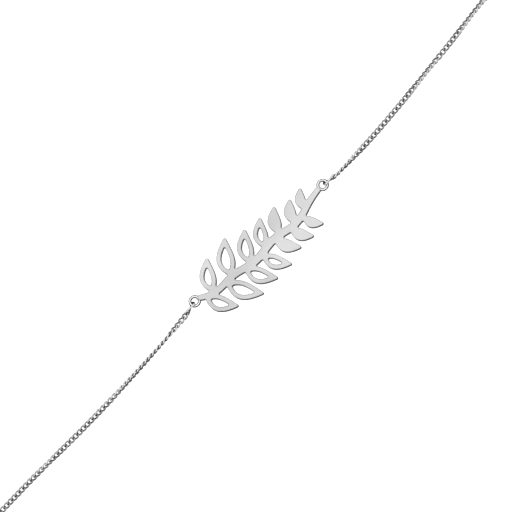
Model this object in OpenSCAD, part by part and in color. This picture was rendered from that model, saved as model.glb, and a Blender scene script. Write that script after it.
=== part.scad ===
// A fine bracelet that lies on a flat surface: a cut plate in front, a curb chain
// that leaves it on both sides, and a plain clasp at the back. Millimetres.
// The plate lies along X with its back on Z = 0, and the origin is the middle of that back.

/* [Plate] */
// Distance between the centres of the two soldered rings
ring_span = 20; // [19.8:0.05:20.2]
// Thickness of the plate
plate_t = 0.8; // [0.65:0.05:0.9]
// Width of the sprig's stem at the middle
stem_w = 0.95; // [0.8:0.05:1.1]
// How far the stem sags below the line between the rings
stem_sag = 1.1; // [0.9:0.1:1.3]
// Angle between a leaf and the line between the rings
leaf_lean = 56; // [52:1:60]
// Length of the longest leaf
leaf_l = 4.7; // [4.3:0.1:4.9]
// Width of the widest leaf
leaf_w = 2.15; // [1.9:0.05:2.2]
// Width of the metal left around the opening in a pierced leaf
leaf_rim = 0.56; // [0.45:0.01:0.6]
// Radius of the leaves' rounded tips
tip_r = 0.2; // [0.1:0.01:0.2]
// Radius of the corners between a leaf and the stem
corner_r = 0.12; // [0.06:0.01:0.14]

/* [Rings and end links] */
// Outer diameter of a ring
ring_d = 1.47; // [1.4:0.01:1.55]
// Diameter of the ring's wire
ring_wire = 0.36; // [0.32:0.01:0.37]
// Diameter of an end link's wire
link_wire = 0.2; // [0.16:0.01:0.22]
// Outside length of an end link
link_l = 1.85; // [1.8:0.01:1.9]
// Outside width of an end link
link_w = 0.9; // [0.88:0.01:1]

/* [Chain] */
// Width of the curb chain
chain_w = 0.72; // [0.6:0.02:0.8]

/* [Clasp] */
// Length of the clasp's barrel
barrel_l = 4.6; // [4.2:0.1:5]
// Diameter of the clasp's barrel
barrel_d = 1.4; // [1.2:0.05:1.6]

/* [Hidden] */

// Rings stand at half the height of an end link, which rests on Z = 0
ring_z = link_w / 2;
ring_major = (ring_d - ring_wire) / 2;
ring_depth = 0.18;

// The stem runs from wire to wire and is cut into this many steps
stem_half = ring_span / 2 - ring_d / 2 + ring_depth;
stem_steps = 36;
stem_taper = 0.3;
stem_wave = 0.22;

// Leaves on each side: place of the first base, spacing, and how each is smaller than the one before
leaf_count = 7;
leaf_start = [-7.9, -8.9];
leaf_pitch = [2.9, 2.95];
leaf_crowd = 0.03;
leaf_shrink = 0.9;
leaf_pierced = 4;
leaf_steps = 12;
leaf_bow = 0.3;
leaf_round = 0.75;
leaf_root = 0.2;

// Wire and tube sections
round_fn = 64;
wire_fn = 24;
corner_fn = 16;
link_sides = 14;
wire_sides = 6;
tube_sides = 8;
route_steps = 2;

// How far an end link's wire stands from the wall of the ring that it passes through
link_clear = 0.05;

// The clasp lies level at the back of the loop
clasp_at = [-3.2, 43];
barrel_chamfer = 0.25;
eye_depth = 0.05;
eye_x = barrel_l / 2 + ring_major - eye_depth;

left_ring = [-ring_span / 2, 0];
right_ring = [ring_span / 2, 0];
left_eye = clasp_at - [eye_x, 0];
right_eye = clasp_at + [eye_x, 0];

// Routes of the two chains on the surface, from the plate to the clasp
left_route = [
    [-12.05, -0.55], [-15.6, -1], [-20.1, -1.5], [-24.6, -1.9], [-29.1, -2.2], [-33.6, -2.4],
    [-38.1, -2.6], [-42.6, -2.9], [-44.7, -2.9], [-46.5, -1.8], [-47.1, 0], [-46.6, 1.9],
    [-43, 5.9], [-39.7, 9.7], [-36, 14], [-32.2, 18.1], [-28.3, 22.1], [-24.4, 26.2],
    [-20.4, 30.1], [-16.4, 34], [-12.3, 37.9], [-7.75, 41.8]
];
right_route = [
    [12.1, -0.2], [15, 0], [19, 0.4], [23.5, 1], [28, 1.7], [32.5, 2.4],
    [37, 3.2], [39.5, 3.6], [41.3, 4.5], [42.2, 6.2], [41.9, 8.1], [40.6, 9.8],
    [37.8, 12.3], [33.9, 15.9], [29.6, 19.6], [25.3, 23.4], [20.9, 27], [16.5, 30.6],
    [11.9, 34.1], [7.3, 37.5], [4.4, 39.7], [1.35, 41.8]
];

function unit(v) = v / norm(v);

// A smooth curve through the points, at t from 0 to 1 between points i and i + 1
function before(pts, i) = i > 0 ? pts[i - 1] : 2 * pts[0] - pts[1];
function after(pts, i) = i < len(pts) - 1 ? pts[i + 1] : 2 * pts[i] - pts[i - 1];
function slope_at(pts, i) = (after(pts, i) - before(pts, i)) / 2;
function on_curve(pts, i, t) =
    (2 * pow(t, 3) - 3 * pow(t, 2) + 1) * pts[i] + (pow(t, 3) - 2 * pow(t, 2) + t) * slope_at(pts, i)
    + (3 * pow(t, 2) - 2 * pow(t, 3)) * pts[i + 1] + (pow(t, 3) - pow(t, 2)) * slope_at(pts, i + 1);
function route_points(pts) = concat(
    [for (i = [0 : len(pts) - 2]) for (k = [0 : route_steps - 1]) on_curve(pts, i, k / route_steps)],
    [pts[len(pts) - 1]]);

// One section of a wire: a polygon about c in the plane of u and v, with flats r from its middle
function section(c, u, v, r, sides) = [
    for (k = [0 : sides - 1])
        let (a = 360 * (k + 0.5) / sides, far = r / cos(180 / sides))
            c + far * cos(a) * u + far * sin(a) * v
];
// The strip of triangles between section i and section j
function strip(i, j, sides) = [
    for (k = [0 : sides - 1])
        let (a = i * sides + k, b = i * sides + (k + 1) % sides,
             c = j * sides + k, d = j * sides + (k + 1) % sides)
            for (face = [[a, c, b], [b, c, d]]) face
];

// A tube along a route that lies on Z = 0
module tube(route, d) {
    pts = route_points(route);
    n = len(pts);
    rings = [for (i = [0 : n - 1])
        let (t = unit(after(pts, i) - before(pts, i)))
            section([pts[i].x, pts[i].y, d / 2], [-t.y, t.x, 0], [0, 0, 1], d / 2, tube_sides)];
    points = [for (ring = rings) for (p = ring) p];
    walls = [for (i = [0 : n - 2]) for (face = strip(i, i + 1, tube_sides)) face];
    first = [for (k = [0 : tube_sides - 1]) k];
    last = [for (k = [tube_sides - 1 : -1 : 0]) (n - 1) * tube_sides + k];
    polyhedron(points, concat(walls, [first, last]));
}

// An end link stands upright on Z = 0, through the ring at eye, and reaches towards the chain
module end_link(eye, chain_start) {
    ahead = unit(chain_start - eye);
    r_end = (link_w - link_wire) / 2;
    reach = link_l / 2 - link_wire / 2 - r_end;
    inside = ring_d / 2 - ring_wire - link_clear - link_wire / 2;
    mid = eye + ahead * (link_l / 2 - link_wire / 2 + inside);
    centre = [mid.x, mid.y, link_w / 2];
    along = [ahead.x, ahead.y, 0];
    side = [-ahead.y, ahead.x, 0];
    sections = [for (k = [0 : link_sides - 1])
        let (a = 360 * (k + 0.5) / link_sides, out = cos(a) * along + [0, 0, sin(a)])
            section(centre + sign(cos(a)) * reach * along + r_end * out,
                    out, side, link_wire / 2, wire_sides)];
    polyhedron([for (s = sections) for (p = s) p],
               [for (i = [0 : link_sides - 1])
                   for (face = strip(i, (i + 1) % link_sides, wire_sides)) face]);
}

// A ring of round wire that lies level
module wire_ring() {
    rotate_extrude($fn = round_fn) translate([ring_major, 0]) circle(d = ring_wire, $fn = wire_fn);
}

function stem_y(x) = let (u = x / stem_half) -stem_sag * (1 - pow(u, 4)) + stem_wave * sin(540 * u);
function stem_side(x, way) = let (
    dx = 0.01,
    along = unit([2 * dx, stem_y(x + dx) - stem_y(x - dx)]),
    w = stem_w * (1 - stem_taper * pow(x / stem_half, 2)))
        [x, stem_y(x)] + way * w / 2 * [-along.y, along.x];

// The curved stem that carries the leaves
module stem() {
    xs = [for (i = [0 : stem_steps]) stem_half * (2 * i / stem_steps - 1)];
    polygon(concat([for (x = xs) stem_side(x, 1)],
                   [for (i = [stem_steps : -1 : 0]) stem_side(xs[i], -1)]));
}

// A pointed leaf along X from its base at the origin, widest before its middle
module leaf(l, w) {
    ts = [for (i = [0 : leaf_steps]) i / leaf_steps];
    polygon([
        for (way = [1, -1])
            for (i = way > 0 ? [0 : leaf_steps] : [leaf_steps - 1 : -1 : 1])
                let (t = ts[i])
                    [l * t, 4 * leaf_bow * t * (1 - t) + way * w / 2 * sin(180 * pow(t, leaf_round))]
    ]);
}

module pierced_leaf(l, w) {
    difference() {
        leaf(l, w);
        offset(r = -leaf_rim, $fn = corner_fn) leaf(l, w);
    }
}

// The leaves above the stem, or below it as its mirror image
module leaves(way) {
    row = way > 0 ? 0 : 1;
    for (i = [0 : leaf_count - 1]) {
        x = leaf_start[row] + i * leaf_pitch[row] * (1 - leaf_crowd * i);
        size = pow(leaf_shrink, abs(i - 1));
        base = [x, stem_y(x)];
        translate(base) rotate(way * leaf_lean) mirror([0, way > 0 ? 0 : 1]) translate([leaf_root, 0])
            if (i < leaf_pierced) pierced_leaf(leaf_l * size, leaf_w * size);
            else leaf(leaf_l * size, leaf_w * size);
    }
}

module plate_outline() {
    offset(r = tip_r, $fn = corner_fn) offset(r = -tip_r - corner_r, $fn = corner_fn)
        offset(r = corner_r, $fn = corner_fn) union() {
            stem();
            leaves(1);
            leaves(-1);
        }
}

module nameplate() {
    color("silver") union() {
        linear_extrude(plate_t) plate_outline();
        for (at = [left_ring, right_ring]) translate([at.x, at.y, ring_z]) wire_ring();
    }
}

module left_end_link() {
    color("silver") end_link(left_ring, left_route[0]);
}

module right_end_link() {
    color("silver") end_link(right_ring, right_route[0]);
}

module left_chain() {
    color("silver") tube(left_route, chain_w);
}

module right_chain() {
    color("silver") tube(right_route, chain_w);
}

module left_clasp_link() {
    color("silver") end_link(left_eye, left_route[len(left_route) - 1]);
}

module right_clasp_link() {
    color("silver") end_link(right_eye, right_route[len(right_route) - 1]);
}

// A plain barrel with a soldered eye at each end
module clasp() {
    r = barrel_d / 2;
    color("silver") translate([clasp_at.x, clasp_at.y, 0]) union() {
        translate([-barrel_l / 2, 0, r]) rotate([0, 90, 0]) rotate_extrude($fn = round_fn)
            polygon([[0, 0], [r - barrel_chamfer, 0], [r, barrel_chamfer],
                     [r, barrel_l - barrel_chamfer], [r - barrel_chamfer, barrel_l], [0, barrel_l]]);
        for (way = [-1, 1]) translate([way * eye_x, 0, ring_z]) wire_ring();
    }
}

nameplate();
left_end_link();
right_end_link();
left_chain();
right_chain();
left_clasp_link();
right_clasp_link();
clasp();
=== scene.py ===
"""A fine silver bracelet lying in a loop: pierced leaf sprig plate, curb chain, barrel clasp.

Shapes are worked out in millimetres in the frame's axes and brought to metres when a piece is made.
"""
import math

import bmesh
import bpy
from mathutils import Matrix, Vector


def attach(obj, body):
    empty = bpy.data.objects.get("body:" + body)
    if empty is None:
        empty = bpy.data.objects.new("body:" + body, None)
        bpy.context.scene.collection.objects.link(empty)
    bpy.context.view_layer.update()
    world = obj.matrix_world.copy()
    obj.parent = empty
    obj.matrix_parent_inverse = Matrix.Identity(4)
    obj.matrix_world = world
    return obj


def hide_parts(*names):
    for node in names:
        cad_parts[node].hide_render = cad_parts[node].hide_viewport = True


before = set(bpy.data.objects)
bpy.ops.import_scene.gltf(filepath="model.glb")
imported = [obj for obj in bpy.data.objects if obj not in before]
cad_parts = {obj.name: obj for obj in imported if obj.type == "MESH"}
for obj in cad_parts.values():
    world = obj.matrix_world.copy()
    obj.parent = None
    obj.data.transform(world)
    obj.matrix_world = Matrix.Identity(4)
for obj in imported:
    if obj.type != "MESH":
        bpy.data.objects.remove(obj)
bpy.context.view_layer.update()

MM = 0.001

# Points of a seam that lie closer than this are joined
SEAM_MERGE = 0.0005

# Rings of the plate and the clasp
RING_SPAN = 20.0
RING_D = 1.47
RING_WIRE = 0.36
RING_Z = 0.45
RING_MAJOR = (RING_D - RING_WIRE) / 2
# Steps round a ring, an end link or the barrel, and sides of the wire
RING_STEPS = 56
RING_SIDES = 20

# Points of the plate's outline that lie closer than this count as one
OUTLINE_MERGE = 0.01
# What counts as the top of the frame's plate: how upright a face's normal is, and how far below the
# highest point it lies
TOP_NORMAL = 0.999
TOP_DEPTH = 0.01
# Each band of the face's softened edge: its width on plan and how far it rises
EDGE_BANDS = ((0.07, 0.065), (0.03, 0.020), (0.03, 0.010), (0.02, 0.003))
BACK_BEVEL = 0.05

# Links of the curb chain: half the length and half the width of the wire's centre line, how far it
# twists up and down, the wire, how far the flats lie from the middle, and from link to link
LINK_A = 0.43
LINK_B = 0.28
LINK_TWIST = -0.15
LINK_WIRE = 0.21
LINK_FLAT = 0.225
LINK_PITCH = 0.63
LINK_STEPS = 14
LINK_SIDES = 6
# How strongly the few steps are drawn towards the link's ends
LINK_DRAW = 1.2
# Painted highlight on the flats, and the height above the link's middle where it has faded to none
FLAT_HIGHLIGHT = 0.4
SHADE_HEIGHT = 0.09
# Power by which the painted side highlight falls towards the link's ends, which paints shade where
# the links hook into each other
LINK_END_SHADE = 0.35

# Painted side highlight where the wire turns upward, and how fast it grows outward across the wire
TOP_SHARE = 0.3
SIDE_GROWTH = 1.5

# End links: outer length and width, wire, and twist
END_L = 1.85
END_W = 0.9
END_WIRE = 0.24
END_TWIST = 0.25
# How sharply the wire turns from its long sides into its ends
END_TURN = 6
# Gap between an end link's wire and the inside of its ring
END_CLEAR = 0.05
# Least and most painted light across an end link's wire: painted shade on its inner side, painted
# highlight on its outer side
END_LIGHT = (0.1, 0.84)
# Roll of an end link that stands upright in its ring, in degrees, and how far those at the plate
# lean from it
UPRIGHT = 90
END_LEAN = 4

# How far the chain's first links go into the end links, and how steeply it comes down from them
END_TUCK = 0.14
CHAIN_FALL = 0.04

# Half the angle, in radians, over which a hoop's centre line is measured for its direction
BEND_STEP = 0.01

# Clasp
CLASP_AT = (-3.2, 43.0)
BARREL_L = 4.6
BARREL_D = 1.4
BARREL_CHAMFER = 0.25
# Rounding of the chamfer's corners, and its steps
BARREL_ROUND = BARREL_CHAMFER / 3
BARREL_ROUND_STEPS = 3
# A face counts as the barrel's flat end when its normal is this close to the axis
BARREL_END = 0.9
# How far the eyes are sunk into the barrel's ends
EYE_DEPTH = 0.05
EYE_X = BARREL_L / 2 + RING_MAJOR - EYE_DEPTH

LEFT_RING = Vector((-RING_SPAN / 2, 0))
RIGHT_RING = Vector((RING_SPAN / 2, 0))
LEFT_EYE = Vector((CLASP_AT[0] - EYE_X, CLASP_AT[1]))
RIGHT_EYE = Vector((CLASP_AT[0] + EYE_X, CLASP_AT[1]))

# How the chains end, at the plate and at the clasp: the ring, the end link's roll and its twist
LEFT_ENDS = ((LEFT_RING, UPRIGHT - END_LEAN, END_TWIST), (LEFT_EYE, UPRIGHT, END_TWIST))
RIGHT_ENDS = ((RIGHT_RING, UPRIGHT + END_LEAN, -END_TWIST), (RIGHT_EYE, UPRIGHT, END_TWIST))

# Routes of the chains, as in the part's source
LEFT_ROUTE = (
    (-12.05, -0.55), (-15.6, -1), (-20.1, -1.5), (-24.6, -1.9), (-29.1, -2.2), (-33.6, -2.4),
    (-38.1, -2.6), (-42.6, -2.9), (-44.7, -2.9), (-46.5, -1.8), (-47.1, 0), (-46.6, 1.9),
    (-43, 5.9), (-39.7, 9.7), (-36, 14), (-32.2, 18.1), (-28.3, 22.1), (-24.4, 26.2),
    (-20.4, 30.1), (-16.4, 34), (-12.3, 37.9), (-7.75, 41.8),
)
RIGHT_ROUTE = (
    (12.1, -0.2), (15, 0), (19, 0.4), (23.5, 1), (28, 1.7), (32.5, 2.4),
    (37, 3.2), (39.5, 3.6), (41.3, 4.5), (42.2, 6.2), (41.9, 8.1), (40.6, 9.8),
    (37.8, 12.3), (33.9, 15.9), (29.6, 19.6), (25.3, 23.4), (20.9, 27), (16.5, 30.6),
    (11.9, 34.1), (7.3, 37.5), (4.4, 39.7), (1.35, 41.8),
)
# Points of the smooth curve from each point of a route to the next
ROUTE_SAMPLES = 24

# How the chains roll as they lie: distance from the plate and degrees
LEFT_ROLLS = (
    (0, 15), (1.8, 44), (3.6, 90), (5.4, 95), (6.4, 100), (8.4, 105), (10.4, 110), (12, 118),
    (13.2, 138), (15.4, 142), (16.4, 150), (18.4, 165), (20, 170), (23.6, 121), (24.6, 138),
    (26.4, 142), (27.4, 155), (34, 165), (42, 180), (54, 190), (66, 170),
    (78, 192), (90, 172), (102, 180),
)
RIGHT_ROLLS = (
    (0, 94), (1.4, 80), (2.2, 70), (3, 57), (5.2, 25), (6.4, 20), (10.4, 18), (10.8, 16),
    (14.8, -45), (16.7, -45), (19.2, 13), (19.5, 13), (23.5, -44), (24.4, -48), (29, -30),
    (36, -10), (48, -20), (60, 10), (72, -12), (84, 12), (95, 0),
)

# Camera: above the plate, turned so that the plate climbs across the picture, and leaning a little
# to the plate's lower side. The nearest distance that it sees is in metres
VIEW_CENTRE = (-1.23, -0.90, 0.4)
VIEW_WIDTH = 59.19
VIEW_TURN = -42.28
VIEW_LEAN = 10.0
VIEW_DISTANCE = 600.0
VIEW_NEAREST = 0.01
SENSOR = 36.0

# Half the width of the table, in metres
FLOOR_HALF = 1.5

# Brightness of the surround by height, from 0 straight below to 1 overhead, above the plate's upper
# side and above its lower side; the pale band about 0.5 is the horizon
UPPER_TONES = (
    (0.1, 0.03), (0.25, 0.2), (0.44, 0.2), (0.46, 0.85), (0.54, 0.85),
    (0.56, 0.2), (0.6, 0.6), (0.7, 1.0), (0.925, 1.1), (1.0, 1.0),
)
LOWER_TONES = (
    (0.1, 0.02), (0.25, 0.2), (0.44, 0.15), (0.46, 0.85), (0.54, 0.85),
    (0.56, 0.05), (0.65, 0.3), (0.75, 0.95), (0.925, 1.15), (1.0, 1.0),
)
# The two sides of the surround blend from this far on one side to this far on the other
SIDE_BLEND = 0.5

# Where the values of a noise texture mostly lie
NOISE_SPREAD = (0.3, 0.7)
# Depth of the marks in the metal, in metres, and how strongly they show
MARK_DEPTH = 0.00001
GRAIN_STRENGTH = 0.04
WEAR_STRENGTH = 0.1
# Upward share of a ring's normal up to which it carries painted shade, and from which it carries a
# painted highlight
RING_SHADE_FACING = 0.85
RING_LIGHT_FACING = 0.97
# Share of their brightness that the rings and the links keep where they are most worn
RING_WORN = 0.88
LINK_WORN = 0.85


def add_camera():
    data = bpy.data.cameras.new("overhead")
    data.sensor_width = SENSOR
    data.lens = SENSOR * VIEW_DISTANCE / VIEW_WIDTH
    data.clip_start = VIEW_NEAREST
    camera = bpy.data.objects.new("overhead", data)
    turn = (Matrix.Rotation(math.radians(VIEW_LEAN), 3, "X")
            @ Matrix.Rotation(math.radians(VIEW_TURN), 3, "Z"))
    camera.rotation_euler = turn.to_euler()
    camera.location = (Vector(VIEW_CENTRE) + turn @ Vector((0, 0, VIEW_DISTANCE))) * MM
    bpy.context.scene.collection.objects.link(camera)
    bpy.context.scene.camera = camera


def new_piece(name, bm):
    """Brings a finished mesh from millimetres to metres and makes it a piece of the bracelet."""
    bmesh.ops.scale(bm, vec=(MM, MM, MM), verts=bm.verts)
    mesh = bpy.data.meshes.new(name)
    bm.to_mesh(mesh)
    bm.free()
    piece = bpy.data.objects.new(name, mesh)
    bpy.context.scene.collection.objects.link(piece)
    return piece


# Shapes

def wire_hoop(major, wire, steps, sides):
    """A level hoop of round wire about the origin."""
    bm = bmesh.new()
    circle = bmesh.ops.create_circle(bm, segments=sides, radius=wire / 2)["verts"]
    bmesh.ops.rotate(bm, verts=circle, matrix=Matrix.Rotation(math.pi / 2, 3, "X"))
    bmesh.ops.translate(bm, verts=circle, vec=(major, 0, 0))
    bmesh.ops.spin(bm, geom=bm.edges[:], axis=(0, 0, 1), cent=(0, 0, 0), steps=steps,
                   angle=2 * math.pi, use_merge=True)
    bmesh.ops.remove_doubles(bm, verts=bm.verts, dist=SEAM_MERGE)
    bmesh.ops.recalc_face_normals(bm, faces=bm.faces)
    for face in bm.faces:
        face.smooth = True
    return bm


def join_at(target, source, matrix):
    """Adds a copy of the source mesh to the target, placed by the matrix."""
    placed = bpy.data.meshes.new("placed")
    source.to_mesh(placed)
    placed.transform(matrix)
    target.from_mesh(placed)
    bpy.data.meshes.remove(placed)


def add_rings(bm, places):
    """Adds a soldered ring, in the piece's second finish, at each of the places."""
    ring = wire_hoop(RING_MAJOR, RING_WIRE, RING_STEPS, RING_SIDES)
    for face in ring.faces:
        face.material_index = 1
    for at in places:
        join_at(bm, ring, Matrix.Translation((at.x, at.y, RING_Z)))
    ring.free()


def paint_hoop_light(bm, major, wire, limits, end_shade):
    """Paints light onto a hoop as a vertex attribute: a painted highlight that grows outward across
    its wire, and painted shade towards its two ends.
    """
    least, most = limits
    painted_light = bm.verts.layers.float.new("painted_light")
    for vert in bm.verts:
        reach = math.hypot(vert.co.x, vert.co.y)
        outward = max(least, min(most, TOP_SHARE + SIDE_GROWTH * (reach - major) / wire))
        vert[painted_light] = outward * (abs(vert.co.y) / reach) ** end_shade
    return painted_light


def bend_hoop(bm, major, centre_line):
    """Moves a hoop's wire onto a closed centre line, which gives a point for each angle."""
    for vert in bm.verts:
        angle = math.atan2(vert.co.y, vert.co.x)
        out = math.hypot(vert.co.x, vert.co.y) - major
        rise = vert.co.z
        along = (centre_line(angle + BEND_STEP) - centre_line(angle - BEND_STEP)).normalized()
        across = along.cross(Vector((0, 0, 1))).normalized()
        vert.co = centre_line(angle) + across * out + across.cross(along) * rise


def curb_line(angle):
    """A link's twisted oval, with its steps drawn towards the tighter turns at its ends."""
    t = math.atan2(math.sin(angle), LINK_DRAW * math.cos(angle))
    return Vector((LINK_A * math.cos(t), LINK_B * math.sin(t), LINK_TWIST * math.sin(2 * t)))


def curb_link():
    """A twisted link, pressed flat above and below, with a painted highlight on the flats and
    painted shade on the wire between them.
    """
    bm = wire_hoop(LINK_A, LINK_WIRE, LINK_STEPS, LINK_SIDES)
    painted_light = paint_hoop_light(bm, LINK_A, LINK_WIRE, (0, 1), LINK_END_SHADE)
    bend_hoop(bm, LINK_A, curb_line)
    for vert in bm.verts:
        vert.co.z = max(-LINK_FLAT, min(LINK_FLAT, vert.co.z))
        # The flats get a painted highlight, which fades out towards the link's middle height
        raised = (abs(vert.co.z) - SHADE_HEIGHT) / (LINK_FLAT - SHADE_HEIGHT)
        vert[painted_light] = max(FLAT_HIGHLIGHT * raised, vert[painted_light])
    return bm


def end_line(angle, twist):
    """A long link's two straight sides and round ends, twisted evenly along its length."""
    end_r = (END_W - END_WIRE) / 2
    reach = END_L / 2 - END_WIRE / 2 - end_r
    c, s = math.cos(angle), math.sin(angle)
    x = reach * math.tanh(END_TURN * c) + end_r * c
    return Vector((x, end_r * s, twist * s * x / (reach + end_r)))


def end_link(twist):
    bm = wire_hoop(END_W / 2, END_WIRE, RING_STEPS, RING_SIDES)
    # Painted light across the wire: painted highlight on its outer side, painted shade on its inner
    # side
    paint_hoop_light(bm, END_W / 2, END_WIRE, END_LIGHT, 0)
    bend_hoop(bm, END_W / 2, lambda angle: end_line(angle, twist))
    return bm


def route_curve(points):
    """Points close together along the smooth curve through the route's points."""
    pts = [Vector(p) for p in points]
    ends = [2 * pts[0] - pts[1]] + pts + [2 * pts[-1] - pts[-2]]
    slopes = [(ends[i + 2] - ends[i]) / 2 for i in range(len(pts))]
    curve = []
    for i in range(len(pts) - 1):
        for k in range(ROUTE_SAMPLES):
            t = k / ROUTE_SAMPLES
            curve.append(
                (2 * t**3 - 3 * t**2 + 1) * pts[i] + (t**3 - 2 * t**2 + t) * slopes[i]
                + (3 * t**2 - 2 * t**3) * pts[i + 1] + (t**3 - t**2) * slopes[i + 1]
            )
    return curve + [pts[-1]]


def along_curve(curve, count):
    """Places, directions and distances of count links at even steps along the curve."""
    lengths = [0.0]
    for a, b in zip(curve, curve[1:]):
        lengths.append(lengths[-1] + (b - a).length)
    places = []
    k = 0
    for i in range(count):
        s = lengths[-1] * i / (count - 1)
        while k < len(curve) - 2 and lengths[k + 1] < s:
            k += 1
        t = (s - lengths[k]) / (lengths[k + 1] - lengths[k])
        places.append((curve[k].lerp(curve[k + 1], t), (curve[k + 1] - curve[k]).normalized(), s))
    return places


def roll_at(s, rolls):
    """The roll about the chain in degrees at distance s, from a table of (distance, degrees)."""
    for (s0, roll0), (s1, roll1) in zip(rolls, rolls[1:]):
        if s <= s1:
            t = (s - s0) / (s1 - s0)
            return roll0 + (roll1 - roll0) * t * t * (3 - 2 * t)
    return rolls[-1][1]


def link_matrix(link, place, ahead, roll, height):
    """Places a link along the chain, rolled by degrees.

    It stands on Z = 0, or has its middle at the given height where that is more.
    """
    turn = (Matrix.Rotation(math.atan2(ahead.y, ahead.x), 4, "Z")
            @ Matrix.Rotation(math.radians(roll), 4, "X"))
    rise = max((turn @ vert.co).z for vert in link.verts)
    return Matrix.Translation((place.x, place.y, max(rise, height))) @ turn


def end_place(ring, start):
    """The middle and direction of an end link that goes through a ring to the chain's start."""
    ahead = (start - ring).normalized()
    inside = RING_D / 2 - RING_WIRE - END_CLEAR - END_WIRE / 2
    return ring + ahead * (END_L / 2 - END_WIRE / 2 + inside), ahead


def curb_chain(name, route, rolls, ends):
    """A chain along a route, with an end link through a ring at each end."""
    (plate_ring, _, _), (clasp_ring, _, _) = ends
    curve = route_curve(route)
    curve.insert(0, curve[0] + (plate_ring - curve[0]).normalized() * END_TUCK)
    curve.append(curve[-1] + (clasp_ring - curve[-1]).normalized() * END_TUCK)
    total = sum((b - a).length for a, b in zip(curve, curve[1:]))
    link = curb_link()
    chain = bmesh.new()
    # Layer for the links' painted light, their painted highlights and shade
    chain.verts.layers.float.new("painted_light")
    for place, ahead, s in along_curve(curve, round(total / LINK_PITCH) + 1):
        height = RING_Z - CHAIN_FALL * min(s, total - s)
        join_at(chain, link, link_matrix(link, place, ahead, roll_at(s, rolls), height))
    link.free()
    for (ring, roll, twist), start in zip(ends, (curve[0], curve[-1])):
        last = end_link(twist)
        place, ahead = end_place(ring, start)
        join_at(chain, last, link_matrix(last, place, ahead, roll, RING_Z))
        last.free()
    return new_piece(name, chain)


def plate_top():
    """The flat top of the frame's plate, and its height."""
    bm = bmesh.new()
    bm.from_mesh(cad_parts["nameplate"].data)
    bmesh.ops.scale(bm, vec=(1 / MM, 1 / MM, 1 / MM), verts=bm.verts)
    bmesh.ops.remove_doubles(bm, verts=bm.verts, dist=OUTLINE_MERGE)
    top_z = max(v.co.z for v in bm.verts)
    rest = [f for f in bm.faces
            if f.normal.z < TOP_NORMAL or f.calc_center_median().z < top_z - TOP_DEPTH]
    bmesh.ops.delete(bm, geom=rest, context="FACES")
    return bm, top_z


def soften_edge(bm):
    """Lowers a flat face's outline and raises it to the face again in bands: a softened edge."""
    bmesh.ops.translate(bm, verts=bm.verts, vec=(0, 0, -sum(rise for _, rise in EDGE_BANDS)))
    face = bm.faces[:]
    for width, rise in EDGE_BANDS:
        band = bmesh.ops.inset_region(bm, faces=face, thickness=width, depth=rise,
                                      use_even_offset=True, use_boundary=True)["faces"]
        for f in band:
            f.smooth = True
            for e in f.edges:
                if not all(other.smooth for other in e.link_faces):
                    e.smooth = False


def add_walls(bm):
    """Drops upright walls from the outline down to the back's bevel."""
    rim = [e for e in bm.edges if e.is_boundary]
    for e in rim:
        e.smooth = False
    for part in bmesh.ops.extrude_edge_only(bm, edges=rim)["geom"]:
        if isinstance(part, bmesh.types.BMVert):
            part.co.z = BACK_BEVEL
        elif isinstance(part, bmesh.types.BMFace):
            part.smooth = True


def sprig_plate():
    """The cut plate: the outline of the frame's plate, with a softened edge round its face."""
    bm, top_z = plate_top()
    back = bm.copy()
    soften_edge(bm)
    add_walls(bm)
    bmesh.ops.reverse_faces(back, faces=back.faces)
    bmesh.ops.translate(back, verts=back.verts, vec=(0, 0, BACK_BEVEL - top_z))
    bmesh.ops.inset_region(back, faces=back.faces[:], thickness=BACK_BEVEL, depth=BACK_BEVEL,
                           use_even_offset=True, use_boundary=True)
    join_at(bm, back, Matrix.Identity(4))
    back.free()
    bmesh.ops.remove_doubles(bm, verts=bm.verts, dist=SEAM_MERGE)
    add_rings(bm, (LEFT_RING, RIGHT_RING))
    return new_piece("sprig_plate", bm)


def barrel_clasp():
    """A plain turned barrel with a soldered eye at each end."""
    bm = bmesh.new()
    r = BARREL_D / 2
    half = BARREL_L / 2
    profile = [(-half, 0), (-half, r - BARREL_CHAMFER), (-half + BARREL_CHAMFER, r),
               (half - BARREL_CHAMFER, r), (half, r - BARREL_CHAMFER), (half, 0)]
    verts = [bm.verts.new((x, y, 0)) for x, y in profile]
    for pair in zip(verts, verts[1:]):
        bm.edges.new(pair)
    bmesh.ops.bevel(bm, geom=verts[2:4], offset=BARREL_ROUND, segments=BARREL_ROUND_STEPS,
                    profile=0.5, affect="VERTICES", material=-1)
    bmesh.ops.spin(bm, geom=bm.verts[:] + bm.edges[:], axis=(1, 0, 0), cent=(0, 0, 0),
                   steps=RING_STEPS, angle=2 * math.pi, use_merge=True)
    bmesh.ops.remove_doubles(bm, verts=bm.verts, dist=SEAM_MERGE)
    bmesh.ops.recalc_face_normals(bm, faces=bm.faces)
    for f in bm.faces:
        f.smooth = abs(f.normal.x) < BARREL_END
    bmesh.ops.translate(bm, verts=bm.verts, vec=(CLASP_AT[0], CLASP_AT[1], r))
    add_rings(bm, (LEFT_EYE, RIGHT_EYE))
    return new_piece("barrel_clasp", bm)


# Finishes

def feed(tree, node, inputs):
    """Sets a node's inputs, or links them where another node's output is given."""
    for name, value in inputs.items():
        if isinstance(value, bpy.types.NodeSocket):
            tree.links.new(value, node.inputs[name])
        else:
            node.inputs[name].default_value = value


def map_range(tree, value, start, end, low=0.0, high=1.0):
    """Maps start to end onto low to high, and holds the value there beyond them."""
    node = tree.nodes.new("ShaderNodeMapRange")
    feed(tree, node, {
        "Value": value, "From Min": start, "From Max": end, "To Min": low, "To Max": high,
    })
    return node.outputs["Result"]


def mix_colours(tree, factor, first, second):
    node = tree.nodes.new("ShaderNodeMix")
    node.data_type = "RGBA"
    feed(tree, node, {"Factor": factor, "A": first, "B": second})
    return node.outputs["Result"]


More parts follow.
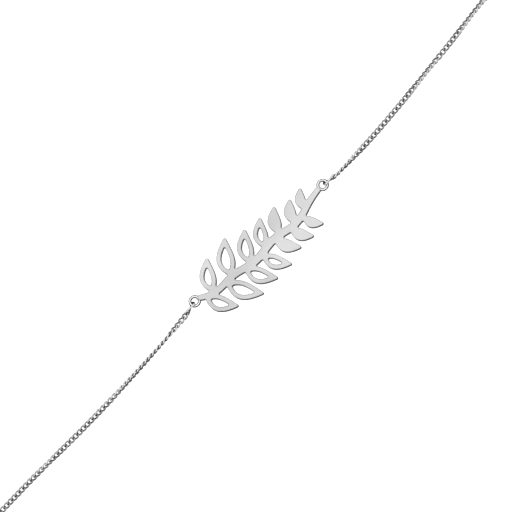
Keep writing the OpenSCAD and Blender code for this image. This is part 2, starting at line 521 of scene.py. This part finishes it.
def noise_on(tree, stretch, scale, detail):
    """Noise in object coordinates, stretched along X by the given factor."""
    place = tree.nodes.new("ShaderNodeTexCoord")
    mapping = tree.nodes.new("ShaderNodeMapping")
    feed(tree, mapping, {"Vector": place.outputs["Object"], "Scale": (1 / stretch, 1, 1)})
    noise = tree.nodes.new("ShaderNodeTexNoise")
    feed(tree, noise, {"Vector": mapping.outputs["Vector"], "Scale": scale, "Detail": detail})
    return noise.outputs["Fac"]


def ranged(tree, noise, low, high):
    """Noise brought from its usual spread to the range low to high."""
    return map_range(tree, noise, *NOISE_SPREAD, low, high)


def marked(tree, height, strength):
    """A normal bent by fine marks in the surface."""
    bump = tree.nodes.new("ShaderNodeBump")
    feed(tree, bump, {"Height": height, "Strength": strength, "Distance": MARK_DEPTH})
    return bump.outputs["Normal"]


def new_material(name, inputs):
    """A material of one shader with the inputs given, its node tree, and the shader."""
    material = bpy.data.materials.new(name)
    material.use_nodes = True
    tree = material.node_tree
    tree.nodes.clear()
    shader = tree.nodes.new("ShaderNodeBsdfPrincipled")
    feed(tree, shader, inputs)
    output = tree.nodes.new("ShaderNodeOutputMaterial")
    feed(tree, output, {"Surface": shader.outputs["BSDF"]})
    return material, tree, shader


def satin_silver():
    """Silver with a fine grain along the plate and faint clouds."""
    material, tree, shader = new_material("satin_silver", {"Metallic": 1.0})
    grain = noise_on(tree, stretch=12, scale=9000, detail=3)
    cloud = noise_on(tree, stretch=1.5, scale=220, detail=2)
    feed(tree, shader, {
        "Base Color": mix_colours(tree, ranged(tree, cloud, 0, 1),
                                  (0.6, 0.6, 0.605, 1), (0.755, 0.755, 0.76, 1)),
        "Roughness": ranged(tree, grain, 0.16, 0.3),
        "Normal": marked(tree, grain, GRAIN_STRENGTH),
    })
    return material


def silver_with_wear_and_painted_light(name, bright_share, dark, light, roughness):
    """Silver with fine wear, between two tones by the share that bright_share makes of the wear;
    for the rings and the links that share also carries painted light and shade.
    """
    material, tree, shader = new_material(name, {"Metallic": 1.0})
    wear = noise_on(tree, stretch=1, scale=2500, detail=3)
    feed(tree, shader, {
        "Base Color": mix_colours(tree, bright_share(tree, wear), dark, light),
        "Roughness": ranged(tree, wear, *roughness),
        "Normal": marked(tree, wear, WEAR_STRENGTH),
    })
    return material


def bright_all_over(tree, wear):
    return ranged(tree, wear, 0, 1)


def painted_light_by_facing(tree, wear):
    """Painted highlight where the metal faces up or down, and painted shade on its upright sides.
    """
    place = tree.nodes.new("ShaderNodeTexCoord")
    split = tree.nodes.new("ShaderNodeSeparateXYZ")
    feed(tree, split, {"Vector": place.outputs["Normal"]})
    facing = tree.nodes.new("ShaderNodeMath")
    facing.operation = "ABSOLUTE"
    feed(tree, facing, {0: split.outputs["Z"]})
    return map_range(tree, facing.outputs["Value"], RING_SHADE_FACING, RING_LIGHT_FACING,
                     high=ranged(tree, wear, RING_WORN, 1))


def lit_by_painted_light(tree, wear):
    """As bright as the painted light that the links carry, a little less where they are worn."""
    painted_light = tree.nodes.new("ShaderNodeAttribute")
    painted_light.attribute_name = "painted_light"
    worn = tree.nodes.new("ShaderNodeMath")
    worn.operation = "MULTIPLY"
    feed(tree, worn, {0: painted_light.outputs["Fac"], 1: ranged(tree, wear, LINK_WORN, 1)})
    return worn.outputs["Value"]


# Surroundings

def white_floor():
    """A white table lit evenly from within, which the metal does not mirror."""
    material, _, _ = new_material("white_floor", {
        "Base Color": (0.9, 0.9, 0.9, 1), "Roughness": 0.9,
        "Emission Color": (1, 1, 1, 1), "Emission Strength": 0.8,
    })
    bm = bmesh.new()
    bmesh.ops.create_grid(bm, x_segments=1, y_segments=1, size=FLOOR_HALF)
    mesh = bpy.data.meshes.new("floor")
    bm.to_mesh(mesh)
    bm.free()
    mesh.materials.append(material)
    floor = bpy.data.objects.new("floor", mesh)
    floor.visible_glossy = False
    bpy.context.scene.collection.objects.link(floor)


def tone_ramp(tree, height, tones):
    """The brightness at a height, from a table of (height, brightness)."""
    node = tree.nodes.new("ShaderNodeValToRGB")
    feed(tree, node, {"Fac": height})
    elements = node.color_ramp.elements
    while len(elements) < len(tones):
        # Anywhere, as the next loop places them all
        elements.new(0.5)
    for element, (at, _) in zip(elements, tones):
        element.position = at
    for element, (_, tone) in zip(elements, tones):
        element.color = (tone, tone, tone, 1)
    return node.outputs["Color"]


def add_studio():
    """A soft surround: white overhead, pale at the horizon and dark low down."""
    world = bpy.data.worlds.new("studio")
    bpy.context.scene.world = world
    world.use_nodes = True
    tree = world.node_tree
    tree.nodes.clear()
    place = tree.nodes.new("ShaderNodeTexCoord")
    split = tree.nodes.new("ShaderNodeSeparateXYZ")
    feed(tree, split, {"Vector": place.outputs["Generated"]})
    side = map_range(tree, split.outputs["Y"], -SIDE_BLEND, SIDE_BLEND)
    height = map_range(tree, split.outputs["Z"], -1.0, 1.0)
    tones = mix_colours(tree, side, tone_ramp(tree, height, LOWER_TONES),
                        tone_ramp(tree, height, UPPER_TONES))
    glow = tree.nodes.new("ShaderNodeBackground")
    feed(tree, glow, {"Color": tones})
    output = tree.nodes.new("ShaderNodeOutputWorld")
    feed(tree, output, {"Surface": glow.outputs["Background"]})


def finish_piece(piece, slot, finishes, *nodes):
    for finish in finishes:
        piece.data.materials.append(finish)
    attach(piece, "root")
    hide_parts(*nodes)


add_camera()
add_studio()
white_floor()
bpy.context.scene.view_settings.view_transform = "Standard"

satin = satin_silver()
polished = silver_with_wear_and_painted_light("polished_silver", bright_all_over,
                       (0.74, 0.74, 0.75, 1), (0.86, 0.86, 0.86, 1), roughness=(0.12, 0.26))
# The rings' silver: near black on upright sides as painted shade, near white facing up or down as
# painted highlight, with fine wear
ring_silver_painted_light = silver_with_wear_and_painted_light("ring_silver_painted_light", painted_light_by_facing,
                          (0.04, 0.04, 0.041, 1), (0.98, 0.98, 0.98, 1), roughness=(0.1, 0.22))
# The links' silver: its near black and near white tones are painted shade and painted highlight,
# mixed by the links' painted light, with fine wear
chain_silver = silver_with_wear_and_painted_light("chain_silver", lit_by_painted_light,
                           (0.06, 0.06, 0.061, 1), (0.98, 0.98, 0.98, 1), roughness=(0.12, 0.22))

finish_piece(sprig_plate(), "plate_silver", (satin, ring_silver_painted_light), "nameplate")
finish_piece(
    curb_chain("left_curb_chain", LEFT_ROUTE, LEFT_ROLLS, LEFT_ENDS),
    "chain_silver", (chain_silver,), "left_chain", "left_end_link", "left_clasp_link",
)
finish_piece(
    curb_chain("right_curb_chain", RIGHT_ROUTE, RIGHT_ROLLS, RIGHT_ENDS),
    "chain_silver", (chain_silver,), "right_chain", "right_end_link", "right_clasp_link",
)
finish_piece(barrel_clasp(), "clasp_silver", (polished, ring_silver_painted_light), "clasp")
